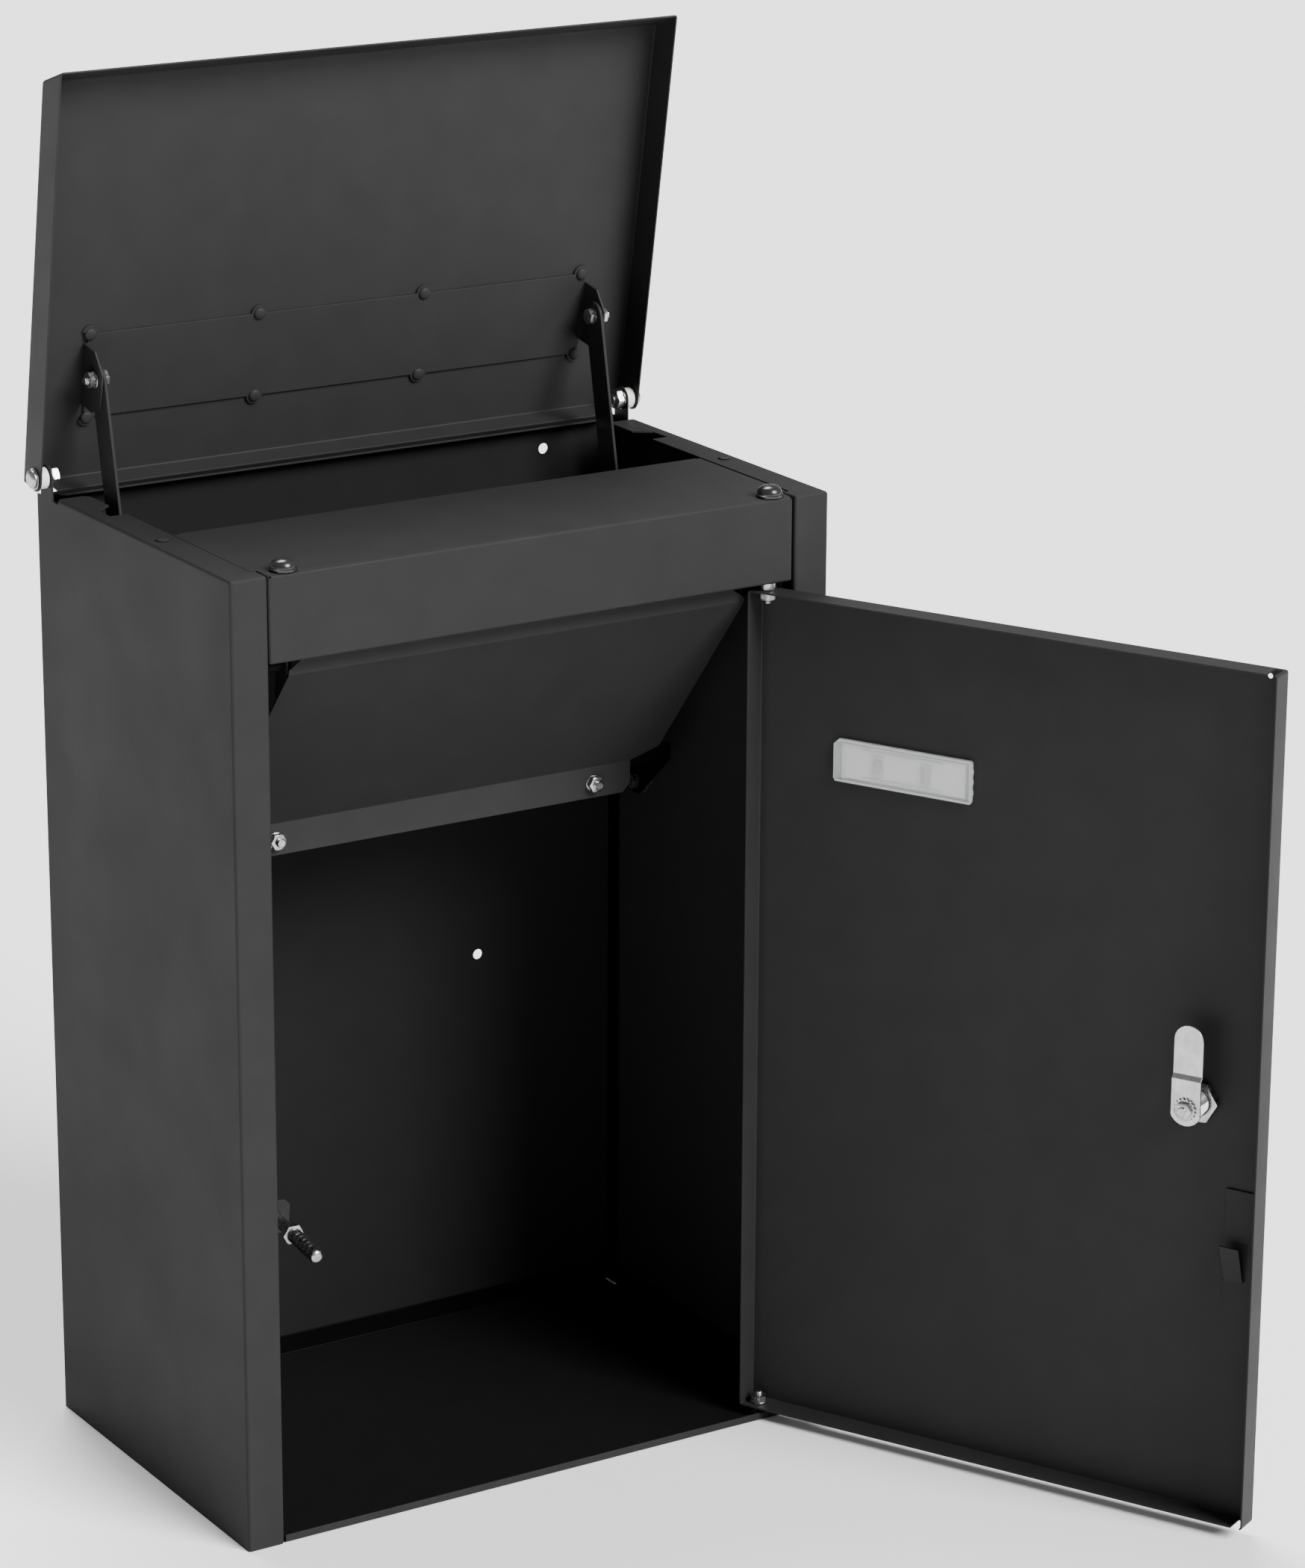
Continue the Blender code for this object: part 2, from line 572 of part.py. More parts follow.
def baffle_bracket(axis, coat):
    """The strip behind the plate's lower flange. Its raised ends carry ears for the link arms."""
    y = to_baffle(BAFFLE_BEND[0] + SHEET + GAP, 0)[0]
    low, high = 0.4215 - BAFFLE_AXIS[1], 0.4400 - BAFFLE_AXIS[1]
    end_low, end_high = 0.4380 - BAFFLE_AXIS[1], 0.4500 - BAFFLE_AXIS[1]
    end_x, slope_x = BAFFLE_FLANGE_HALF - 0.0005, BAFFLE_FLANGE_HALF - 0.0105
    right = [(end_x, low), (end_x, end_low), (BAFFLE_EAR_X, end_low), (BAFFLE_EAR_X, end_high)]
    right += [(end_x, end_high), (slope_x, high)]
    outline = right + [(-x, z) for x, z in reversed(right)]
    pivot = to_baffle(*PIVOT_LOW)
    ear = [(y, end_low), (y, end_high)] + arc(pivot, 0.010, 75, -115, 10)
    panels = [on_y(y, outline)]
    panels += [on_x(side * BAFFLE_EAR_X, ear) for side in (-1, 1)]
    strip = folded_sheet("baffle_bracket", panels, (0, -1, 0), coat, axis, BRACKET)
    bolt_z = BAFFLE_BOLT[1] - BAFFLE_AXIS[1]
    holes = [((side * BAFFLE_BOLT[0], y, bolt_z), (0, 1, 0), M6_HOLE, 0.01) for side in (-1, 1)]
    holes += [((side * BAFFLE_EAR_X, *pivot), (1, 0, 0), M6_HOLE, 0.01) for side in (-1, 1)]
    cut(strip, holes)


def baffle_fasteners(axis, zinc):
    """The two bolts through the lower flange, and the link arms' lower pivots."""
    face = to_baffle(BAFFLE_BEND[0], 0)[0]
    stack = SHEET + GAP + BRACKET
    bolt = [
        (-stack - 0.0043, HEX_M6, "h"), (-stack - GAP, HEX_M6, "h"), (-stack - GAP, M6, "o"),
        (GAP, M6, "o"), (GAP, HEX_M6, "h"), (0.0055, HEX_M6, "h"), (0.0055, M6, "o"),
        (0.0085, M6 - 0.0004, "o"),
    ]
    bolt_z = BAFFLE_BOLT[1] - BAFFLE_AXIS[1]
    pivot = to_baffle(*PIVOT_LOW)
    inner = BAFFLE_EAR_X - BRACKET - GAP
    head = [
        (inner - 0.0042, HEX_M6, "h"), (inner, HEX_M6, "h"), (inner, M6, "o"),
        (BAFFLE_EAR_X + GAP, M6, "o"),
    ]
    for word, side in SIDES:
        turned("baffle_bolt_" + word, bolt, (side * BAFFLE_BOLT[0], face, bolt_z), (0, -1, 0), zinc, axis)
        turned("lower_pivot_bolt_" + word, head, (0, *pivot), (side, 0, 0), zinc, axis)


def baffle_hinge_pins(coat):
    """Shouldered pins from the front panel's tabs to the baffle's ears."""
    ear_in = BAFFLE_HALF - SHEET
    for word, side in SIDES:
        tab_out = JAMB_IN - SHELF_SEAM[side]
        tab_in = tab_out - SHEET
        pin = [
            (ear_in - 0.0035, 0.0050, "o"), (ear_in - GAP, 0.0050, "o"), (ear_in - GAP, M6, "o"),
            (BAFFLE_HALF + GAP, M6, "o"), (BAFFLE_HALF + GAP, 0.0045, "o"), (tab_in - GAP, 0.0045, "o"),
            (tab_in - GAP, M6, "o"), (tab_out + GAP, M6, "o"), (tab_out + GAP, HEX_M6, "h"),
            (tab_out + 0.0040, HEX_M6, "h"),
        ]
        turned("baffle_hinge_pin_" + word, pin, (0, *BAFFLE_AXIS), (side, 0, 0), coat)


# ---------------------------------------------------------------------- door
def door_pan(axis, coat):
    low, high = DOOR_Z
    across = (DOOR_FREE_X, DOOR_HINGE_X)
    deep = (DOOR_SKIN, DOOR_EDGE)
    panels = [
        on_y(DOOR_SKIN, box_points(across, DOOR_Z)),
        on_z(high, box_points(across, deep)),
        on_z(low, box_points(across, deep)),
        on_x(DOOR_HINGE_X, box_points(deep, DOOR_Z)),
        on_x(DOOR_FREE_X, box_points(deep, DOOR_Z)),
    ]
    pan = folded_sheet("door_pan", panels, (0, -1, 0), coat, axis)
    holes = [((0, 0, z), (0, 0, 1), M6_HOLE, 0.006) for z in DOOR_Z]
    holes.append(((LOCK[0], DOOR_SKIN, LOCK[1]), (0, 1, 0), 0.0098, 0.01))
    holes.append(((-0.356, DOOR_SKIN, 0.5815), (0, 1, 0), 0.0018, 0.01))
    window = ((-0.143, DOOR_SKIN - 0.002, 0.468), (-0.056, DOOR_SKIN + 0.003, 0.488))
    relief_x = (DOOR_FREE_X + SHEET + 0.0008, DOOR_FREE_X + 0.008)
    boxes = [window]
    for bottom, top in ((low - 0.002, low + 0.003), (high - 0.003, high + 0.002)):
        boxes.append(((relief_x[0], DOOR_SKIN + 0.0045, bottom), (relief_x[1], DOOR_EDGE + 0.002, top)))
    cut(pan, holes, boxes)


def door_pins(axis, zinc):
    """The bolts that the door turns on, through the header and through the sill."""
    top, bottom = DOOR_Z[1], DOOR_Z[0]
    upper = [
        (HEADER_Z + SHEET + 0.0040, HEX_M6, "h"), (HEADER_Z + SHEET + GAP, HEX_M6, "h"),
        (HEADER_Z + SHEET + GAP, M6, "o"), (HEADER_Z - GAP, M6, "o"), (HEADER_Z - GAP, 0.0055, "o"),
        (top + GAP, 0.0055, "o"), (top + GAP, M6, "o"), (top - SHEET - GAP, M6, "o"),
        (top - SHEET - GAP, HEX_M6, "h"), (top - 0.0065, HEX_M6, "h"), (top - 0.0065, M6, "o"),
        (top - 0.0090, M6 - 0.0004, "o"),
    ]
    turned("door_pin_top", upper, (0, 0, 0), (0, 0, 1), zinc, axis)
    lower = [
        (0.0002, M6, "o"), (SHEET + GAP, M6, "o"), (SHEET + GAP, 0.0055, "o"),
        (bottom - GAP, 0.0055, "o"), (bottom - GAP, M6, "o"), (bottom + SHEET + GAP, M6, "o"),
        (bottom + SHEET + GAP, HEX_M6, "h"), (bottom + 0.0065, HEX_M6, "h"),
        (bottom + 0.0065, M6, "o"), (bottom + 0.0095, M6 - 0.0004, "o"),
    ]
    turned("door_pin_bottom", lower, (0, 0, 0), (0, 0, 1), zinc, axis)


def name_window(axis, plastic, paper):
    """The clear card holder inside the door, with a blank card in its pocket."""
    inside = DOOR_SKIN + SHEET
    left, right = CARD_X
    low, high = CARD_Z
    corner = 0.004
    outline = [(left + 0.0015, low), (right - 0.0015, low), (right, low + 0.0015)]
    outline += [(right, high - corner), (right - corner, high), (left + 0.0015, high)]
    outline += [(left, high - 0.0015), (left, low + 0.0015)]
    face = inside + GAP
    holder = prism("name_window", on_y(face, outline), (0, 0.003, 0), plastic, axis)
    rim = 0.005
    pocket = ((left + rim, face - 0.001, low + rim / 2), (right - rim, face + 0.0012, high - rim / 2))
    cut(holder, boxes=[pocket])
    play = 0.0004
    card = box_points((left + rim + play, right - rim - play), (low + rim / 2 + play, high - rim / 2 - play))
    prism("name_card", on_y(face + 0.0004, card), (0, 0.0004, 0), paper, axis)


def keeper_plate(axis, coat):
    """The catch plate by the door's free edge, with a scoop that slopes off it."""
    face = DOOR_SKIN + SHEET + GAP + 0.0012
    left, right = KEEPER_X
    low, high = KEEPER_Z
    scoop_in, scoop_out = -0.3415, -0.3550
    foot, crest, reach = 0.174, 0.200, 0.009
    slot_x, slot_low, slot_high = scoop_out - 0.0025, foot + 0.0025, crest + 0.001
    outline = [(left, low), (right, low), (right, foot), (scoop_in, foot), (scoop_out, foot)]
    outline += [(slot_x, slot_low), (slot_x, slot_high), (right, slot_high), (right, high), (left, high)]
    tongue = [(scoop_in, face, foot), (scoop_out, face, foot)]
    tongue += [(scoop_out, face + reach, crest), (scoop_in, face + reach, crest)]
    folded_sheet("keeper_plate", [on_y(face, outline), tongue], (0, 1, 0), coat, axis, bend=0.0012)


def lock(axis, lock_axis, zinc, steel):
    """A cam lock. Its case and nut stay with the door; its plug, cam and screw turn."""
    x, z = LOCK
    centre = (x, 0, z)
    bore = 0.0068
    inside = DOOR_SKIN + SHEET
    hub = DOOR_EDGE + 0.0043
    case = [
        (DOOR_SKIN - 0.0025, bore, "o"), (DOOR_SKIN - 0.0025, 0.0098, "o"),
        (DOOR_SKIN - 0.0020, 0.0110, "o"), (DOOR_SKIN - GAP, 0.0110, "o"),
        (DOOR_SKIN - GAP, 0.0094, "o"), (hub - 0.0025, 0.0094, "o"), (hub - 0.0025, bore, "o"),
    ]
    turned("lock_case", case, centre, (0, 1, 0), steel, axis, sides=24, hollow=True)
    nut = [
        (inside + GAP, 0.0098, "o"), (inside + GAP, 0.0150, "h"), (inside + 0.0058, 0.0150, "h"),
        (inside + 0.0058, 0.0098, "o"),
    ]
    turned("lock_nut", nut, centre, (0, 1, 0), zinc, axis, sides=24, hollow=True)
    plug = [(DOOR_SKIN - 0.0022, 0.0062, "o"), (DOOR_SKIN - 0.0018, 0.0065, "o")]
    plug.append((hub - 0.0021, 0.0065, "o"))
    body = turned("lock_plug", plug, (0, 0, 0), (0, 1, 0), steel, lock_axis, sides=24)
    cut(body, boxes=[((-0.0006, DOOR_SKIN - 0.004, -0.0035), (0.0006, DOOR_SKIN + 0.002, 0.0035))])
    cam_plate(hub, lock_axis, zinc)
    screw = [
        (hub - 0.0018, M6, "o"), (hub + GAP, M6, "o"), (hub + GAP, 0.0078, "o"),
        (hub + 0.0015, 0.0078, "o"), (hub + 0.0015, 0.0062, "h"), (hub + 0.0045, 0.0062, "h"),
        (hub + 0.0045, M6, "o"), (hub + 0.0060, M6 - 0.0004, "o"),
    ]
    turned("lock_cam_screw", screw, (0, 0, 0), (0, 1, 0), zinc, lock_axis)


def cam_plate(hub, lock_axis, zinc):
    """The cam: a flat bar with round ends, stepped towards the door above its hub."""
    half, top, bottom = 0.01025, 0.056, 0.0115
    step = 0.0020
    joggle = (0.020, 0.0225)
    lower = arc((0, 0), bottom, 200, 340, 8)
    lower = [(-half, joggle[0]), (-half, -0.0045)] + lower[1:-1] + [(half, -0.0045), (half, joggle[0])]
    upper = [(-half, joggle[1]), (half, joggle[1])] + arc((0, top - half), half, 0, 180, 10)
    slant = [(-half, hub, joggle[0]), (half, hub, joggle[0])]
    slant += [(half, hub - step, joggle[1]), (-half, hub - step, joggle[1])]
    panels = [on_y(hub, lower), slant, on_y(hub - step, upper)]
    cam = folded_sheet("lock_cam", panels, (0, 1, 0), zinc, lock_axis, 0.0018, bend=0.0006)
    cut(cam, [((0, hub, 0), (0, 1, 0), M6_HOLE, 0.01)])


# -------------------------------------------------------------------- strike
def strike(coat, zinc):
    """The angle bracket inside the left side, and the stud that points at the door."""
    root = make_axis("strike_place", STUD_ROOT, (STUD_TILT, 0, 0))
    wall = -HALF_W + SHEET + GAP - STUD_ROOT[0]
    leg = [(wall, 0.016), (wall, -0.016), (0.006, -0.012), (0.010, -0.008), (0.010, 0.008), (0.006, 0.012)]
    foot = [(0, -0.016), (0, 0.016), (0.030, 0.016), (0.030, -0.016)]
    panels = [on_y(0, leg), on_x(wall, foot)]
    bracket = folded_sheet("strike_bracket", panels, (0, -1, 0), coat, root, 0.0020, bend=0.0028)
    cut(bracket, [((0, 0, 0), (0, 1, 0), M6_HOLE, 0.01)])
    stud = [
        (-0.0105, M6 - 0.0004, "o"), (-0.0075, M6, "o"), (-0.0075, HEX_M6, "h"), (-0.0023, HEX_M6, "h"),
        (-0.0023, M6, "o"), (GAP, M6, "o"), (GAP, 0.0045, "o"), (0.0200, 0.0036, "o"),
        (0.0200, 0.0075, "h"), (0.0250, 0.0075, "h"), (0.0250, 0.0050, "o"), (0.0545, 0.0050, "o"),
        (0.0570, 0.0042, "o"), (0.0580, 0.0026, "o"),
    ]
    turned("strike_stud", stud, (0, 0, 0), (0, -1, 0), zinc, root)


# --------------------------------------------------------------------- build
def main():
    clear_scene()
    coat = make_material("black_powder_coat", (0.040, 0.041, 0.043), 0.55)
    zinc = make_material("zinc_plate", (0.62, 0.62, 0.60), 0.35, 1.0)
    steel = make_material("chrome_plate", (0.70, 0.70, 0.70), 0.18, 1.0)
    rubber = make_material("black_rubber", (0.020, 0.020, 0.021), 0.75)
    nylon = make_material("nylon", (0.75, 0.74, 0.70), 0.5)
    plastic = make_material("clear_plastic", (0.86, 0.88, 0.88), 0.2, alpha=0.6)
    paper = make_material("white_card", (0.85, 0.85, 0.83), 0.9)

    for word, side in SIDES:
        side_panel(word, side, coat)
    back_panel(coat)
    base_pan(coat)
    front_top_panel(coat)
    shelf_bumpers(rubber)
    rail_rivets(coat)
    lid_hinges(zinc, nylon)
    baffle_hinge_pins(coat)
    strike(coat, zinc)

    lid_axis = make_axis("lid_axis", (0, *LID_AXIS), (LID_TILT, 0, 0))
    lid_pan(lid_axis, coat)
    lid_bracket(lid_axis, coat)
    lid_rivets(lid_axis, coat)
    upper_pivots(lid_axis, zinc)

    turn = Matrix.Rotation(LID_TILT, 2)
    y, z = turn @ Vector(LINK_PIVOT)
    pivot = (0, LID_AXIS[0] + y, LID_AXIS[1] + z)
    arm_axes = {word: make_axis("arm_axis_" + word, pivot, (ARM_TILT, 0, 0)) for word, _ in SIDES}
    link_arms(arm_axes, coat, zinc)

    baffle_axis = make_axis("baffle_axis", (0, *BAFFLE_AXIS))
    baffle_plate(baffle_axis, coat)
    baffle_bracket(baffle_axis, coat)
    baffle_fasteners(baffle_axis, zinc)

    door_axis = make_axis("door_axis", (*DOOR_AXIS, 0), (0, 0, DOOR_OPEN))
    lock_axis = make_axis("lock_axis", (LOCK[0], 0, LOCK[1]), parent=door_axis)
    door_pan(door_axis, coat)
    door_pins(door_axis, zinc)
    name_window(door_axis, plastic, paper)
    keeper_plate(door_axis, coat)
    lock(door_axis, lock_axis, zinc, steel)


main()
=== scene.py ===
"""Finishes, fine fasteners, floor, lights and camera for the parcel drop box.

Lengths are in metres.
"""

import json
import math

import bmesh
import bpy
from mathutils import Matrix, Vector


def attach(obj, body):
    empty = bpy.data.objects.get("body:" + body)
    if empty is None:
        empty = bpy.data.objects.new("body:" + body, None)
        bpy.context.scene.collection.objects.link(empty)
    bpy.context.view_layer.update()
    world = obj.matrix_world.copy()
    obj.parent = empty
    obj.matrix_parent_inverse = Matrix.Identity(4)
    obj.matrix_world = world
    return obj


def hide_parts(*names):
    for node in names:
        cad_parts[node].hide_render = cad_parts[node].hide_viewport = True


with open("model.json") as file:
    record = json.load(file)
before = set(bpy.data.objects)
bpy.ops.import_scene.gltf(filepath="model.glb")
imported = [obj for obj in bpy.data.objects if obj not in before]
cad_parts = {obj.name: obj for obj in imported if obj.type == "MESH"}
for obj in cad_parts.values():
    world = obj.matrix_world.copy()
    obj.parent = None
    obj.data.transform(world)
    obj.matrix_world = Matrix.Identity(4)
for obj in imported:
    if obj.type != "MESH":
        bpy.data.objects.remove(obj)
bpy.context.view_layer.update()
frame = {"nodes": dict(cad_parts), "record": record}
NODES = frame["nodes"]
SIDES = (("left", -1), ("right", 1))

# Stations shared with the CAD part
SHEET, GAP = 0.0012, 0.0003  # thickness of the sheet, space between two pieces
# Box: half width, inner edge of a jamb, top of the sides, underside of the header
HALF_W, JAMB_IN, HEIGHT, HEADER_Z = 0.220, 0.194, 0.650, 0.593
SHELF_SEAM = {-1: 0.0004, 1: 0.0017}  # space beside the shelf, by side
# Space where the coat's colour is darkened as painted shade for the inside of the box, in x, y and
# z:
# up to the back wall's face and just past the base's, and 0.3 mm short of the sides, which keep the
# lighter coat inside
CAVITY = ((-0.2185, 0.2185), (-0.131, 0.1338), (0.0011, 0.6465))
BUMPER_X, BUMPER_Y, BUMPER_R, BUMPER_H = 0.179, -0.127, 0.009, 0.008
RAIL_RIVET = (0.210, -0.025)  # x and y
STUD_ROOT, STUD_TILT = (-0.1555, -0.0575, 0.1925), math.radians(8)
# Lid: hinge axis in y and z, angle as stored, half width, outer face in its own z
LID_AXIS, LID_TILT = (0.121, 0.661), math.radians(-80.16)
LID_HALF_W, LID_TOP = 0.228, 0.0169
# Strip bracket inside the lid: thickness, the y of its rivet rows, the x of its rivets
BRACKET, BRACKET_Y = 0.0015, (-0.0902, -0.0322)
RIVET_X = (-0.186, -0.0624, 0.0624, 0.186)
# Link: outer face of the bracket's ear, upper pivot in the lid's y and z, then the arm itself
EAR_X, LINK_PIVOT = 0.1904, (-0.0661, -0.0041)
ARM_X, ARM_LENGTH, ARM_TILT = (0.1866, 0.1886), 0.320, math.radians(-11.24)
# Baffle: hinge axis in y and z, half width, front face of the flange
BAFFLE_AXIS, BAFFLE_HALF, BAFFLE_BEND_Y = (-0.104, 0.583), 0.169, -0.002
# Baffle bracket: link pivot in y and z, outer face of its ear, bolts in x and z
PIVOT_LOW, BAFFLE_EAR_X, BAFFLE_BOLT = (0.0433, 0.4113), 0.185, (0.1215, 0.431)
# Door: hinge axis in x and y, then its skin and folded edge in its own y, and its ends in z
DOOR_AXIS, DOOR_OPEN = (0.1792, -0.1262), math.radians(116.7)
DOOR_SKIN, DOOR_EDGE, DOOR_Z = -0.0088, 0.0092, (0.0085, 0.5875)
LOCK = (-0.319, 0.293)  # the door's x and z
WINDOW_X, WINDOW_Z = (-0.151, -0.048), (0.4635, 0.4925)
# Hardware: thread radius, corner radii of the hexagons, and heights above a clamped face
M6, HEX_M6, HEX_M8 = 0.0030, 0.0058, 0.0074
WASHER_TOP, NUT_TOP = 0.0010, 0.0055

# CAD nodes: turn of a sharp edge, its bevel, and how close points are to be joined
CAD_SHARP, CAD_BEVEL, CAD_WELD = math.radians(36), 0.00022, 0.00001
FINE_SHARP = math.radians(38)  # turn of a sharp edge on a fine piece

# Frames of the moving pieces as stored
WORLD = Matrix.Identity(4)
LID = Matrix.Translation((0, *LID_AXIS)) @ Matrix.Rotation(LID_TILT, 4, "X")
UPPER_PIVOT = LID @ Vector((0, *LINK_PIVOT))
ARM = Matrix.Translation(UPPER_PIVOT) @ Matrix.Rotation(ARM_TILT, 4, "X")
DOOR = Matrix.Translation((*DOOR_AXIS, 0)) @ Matrix.Rotation(DOOR_OPEN, 4, "Z")
STUD = Matrix.Translation(STUD_ROOT) @ Matrix.Rotation(STUD_TILT, 4, "X")


# ----------------------------------------------------------------- materials
class Finish:
    """A Principled material with a few procedural layers in object coordinates.

    The colour and roughness given at first hold where no layer replaces them.
    """

    def __init__(self, name, colour, roughness, **values):
        self.material = bpy.data.materials.new(name)
        self.material.use_nodes = True
        self.tree = self.material.node_tree
        self.shader = self.tree.nodes["Principled BSDF"]
        self.place = self.tree.nodes.new("ShaderNodeTexCoord").outputs["Object"]
        self.set("Base Color", (*colour, 1))
        self.set("Roughness", roughness)
        for key, value in values.items():
            self.set(key.replace("_", " "), value)
        self.normal = None

    def set(self, socket, value):
        self.shader.inputs[socket].default_value = value

    def link(self, a, b):
        self.tree.links.new(a, b)

    def noise(self, scale, detail, stretch=None):
        """Noise with features of about 1/scale, stretched along an axis if asked."""
        node = self.tree.nodes.new("ShaderNodeTexNoise")
        node.inputs["Scale"].default_value = scale
        node.inputs["Detail"].default_value = detail
        source = self.place
        if stretch:
            mapping = self.tree.nodes.new("ShaderNodeMapping")
            mapping.inputs["Scale"].default_value = stretch
            self.link(source, mapping.inputs["Vector"])
            source = mapping.outputs["Vector"]
        self.link(source, node.inputs["Vector"])
        return node.outputs["Fac"]

    def spread(self, value, low, high, start=0.3, end=0.7):
        """Maps value from start..end, by default the bulk of a noise, to low..high."""
        node = self.tree.nodes.new("ShaderNodeMapRange")
        node.inputs["From Min"].default_value = start
        node.inputs["From Max"].default_value = end
        node.inputs["To Min"].default_value = low
        node.inputs["To Max"].default_value = high
        self.link(value, node.inputs["Value"])
        return node.outputs["Result"]

    def vary(self, socket, value, low, high):
        self.link(self.spread(value, low, high), self.shader.inputs[socket])

    def tint(self, value, first, second, start=0.3, end=0.7):
        """Mixes the base colour from first to second as value grows."""
        node = self.tree.nodes.new("ShaderNodeMix")
        node.data_type = "RGBA"
        node.inputs["A"].default_value = (*first, 1)
        node.inputs["B"].default_value = (*second, 1)
        self.link(self.spread(value, 0, 1, start, end), node.inputs["Factor"])
        self.link(node.outputs["Result"], self.shader.inputs["Base Color"])

    def maths(self, operation, a, b):
        node = self.tree.nodes.new("ShaderNodeMath")
        node.operation = operation
        for socket, value in zip(node.inputs, (a, b)):
            if isinstance(value, (int, float)):
                socket.default_value = value
            else:
                self.link(value, socket)
        return node.outputs["Value"]

    def outside(self, limits):
        """1 outside a box given by its limits in x, y and z, 0 inside it, half on its faces."""
        split = self.tree.nodes.new("ShaderNodeSeparateXYZ")
        self.link(self.place, split.inputs["Vector"])
        farthest, blend = -1.0, 0.0002
        for axis, (low, high) in zip(split.outputs, limits):
            offset = self.maths("SUBTRACT", axis, (low + high) / 2)
            away = self.maths("ABSOLUTE", offset, 0)
            past = self.maths("SUBTRACT", away, (high - low) / 2)
            farthest = self.maths("MAXIMUM", farthest, past)
        return self.spread(farthest, 0, 1, -blend, blend)

    def bump(self, value, depth, strength):
        node = self.tree.nodes.new("ShaderNodeBump")
        node.inputs["Strength"].default_value = strength
        node.inputs["Distance"].default_value = depth
        self.link(value, node.inputs["Height"])
        if self.normal:
            self.link(self.normal, node.inputs["Normal"])
        self.normal = node.outputs["Normal"]
        self.link(self.normal, self.shader.inputs["Normal"])


def powder_coat(name="black_powder_coat_finish", inside=False):
    """Satin black powder coat: a fine orange peel with slightly uneven sheen.

    With inside, the coat is duller all over, and its colour is darkened within CAVITY as painted
    shade for the inside of the box.
    """
    coat = Finish(name, (0.0195, 0.0195, 0.020), 0.55)
    # The first colour is painted shade for inside the box; the other two are the coat's own random
    # tone
    painted_shade, dark, light = (0.0012, 0.0012, 0.0013), (0.0186, 0.0186, 0.0190), (0.0208, 0.0208, 0.0212)
    cloud = coat.noise(38, 4)
    if inside:
        coat.set("Specular IOR Level", 0.05)
        # Painted shade: outer is 0 within CAVITY, where the colour falls to near black for the
        # shade inside the box
        outer = coat.outside(CAVITY)
        coat.tint(coat.maths("MULTIPLY", coat.spread(cloud, 0.9, 1.0), outer), painted_shade, light, 0, 1)
    else:
        coat.set("Specular IOR Level", 0.09)
        coat.tint(cloud, dark, light)
    coat.vary("Roughness", coat.noise(16, 3), 0.48, 0.56)
    coat.bump(coat.noise(260, 1), 0.00012, 0.5)
    coat.bump(coat.noise(1500, 2), 0.00006, 0.6)
    return coat.material


def zinc():
    """Bright zinc plate with the faint clouding of barrel plating."""
    plate = Finish("zinc_plate_finish", (0.5, 0.5, 0.5), 0.3, Metallic=1.0)
    plate.tint(plate.noise(320, 3), (0.30, 0.303, 0.30), (0.47, 0.47, 0.465))
    plate.vary("Roughness", plate.noise(700, 3), 0.20, 0.38)
    plate.bump(plate.noise(2400, 2), 0.00003, 0.4)
    return plate.material


def brushed_zinc():
    """Stamped zinc-plated steel, with grain along its length."""
    plate = Finish("stamped_zinc_finish", (0.66, 0.67, 0.67), 0.3, Metallic=1.0)
    grain = plate.noise(500, 3, (1.0, 1.0, 0.06))
    plate.tint(plate.noise(120, 3), (0.38, 0.383, 0.38), (0.50, 0.50, 0.495))
    plate.vary("Roughness", grain, 0.24, 0.40)
    plate.bump(grain, 0.00004, 0.35)
    return plate.material


def chrome():
    steel = Finish("chrome_plate_finish", (0.72, 0.72, 0.73), 0.12, Metallic=1.0)
    steel.vary("Roughness", steel.noise(500, 3), 0.08, 0.18)
    return steel.material


def rubber():
    black = Finish("black_rubber_finish", (0.012, 0.012, 0.013), 0.25)
    black.vary("Roughness", black.noise(300, 3), 0.18, 0.30)
    black.bump(black.noise(1200, 2), 0.00004, 0.4)
    return black.material


def nylon():
    white = Finish("nylon_finish", (0.72, 0.71, 0.67), 0.45)
    white.vary("Roughness", white.noise(500, 2), 0.4, 0.5)
    return white.material


def clear_plastic():
    """Moulded clear plastic, slightly frosted."""
    clear = Finish("clear_plastic_finish", (0.90, 0.92, 0.92), 0.22, IOR=1.49)
    clear.set("Transmission Weight", 0.75)
    clear.vary("Roughness", clear.noise(60, 2), 0.10, 0.20)
    clear.bump(clear.noise(90, 2), 0.00012, 0.4)
    return clear.material


def card():
    paper = Finish("white_card_finish", (0.84, 0.84, 0.82), 0.9)
    paper.bump(paper.noise(1800, 3), 0.00005, 0.4)
    return paper.material


COAT, ZINC, STAMPED, CHROME = powder_coat(), zinc(), brushed_zinc(), chrome()
# Coat whose colour is darkened inside the box as painted shade
BOX_COAT_PAINTED_SHADE = powder_coat("black_powder_coat_painted_shade_finish", inside=True)
BOX_NODES = (
    "side_panel_left", "side_panel_right", "back_panel",
    "base_pan", "front_top_panel", "baffle_bracket",
)
FINISHES = {
    "black_powder_coat": COAT,
    "zinc_plate": ZINC,
    "chrome_plate": CHROME,
    "black_rubber": rubber(),
    "nylon": nylon(),
    "clear_plastic": clear_plastic(),
    "white_card": card(),
}


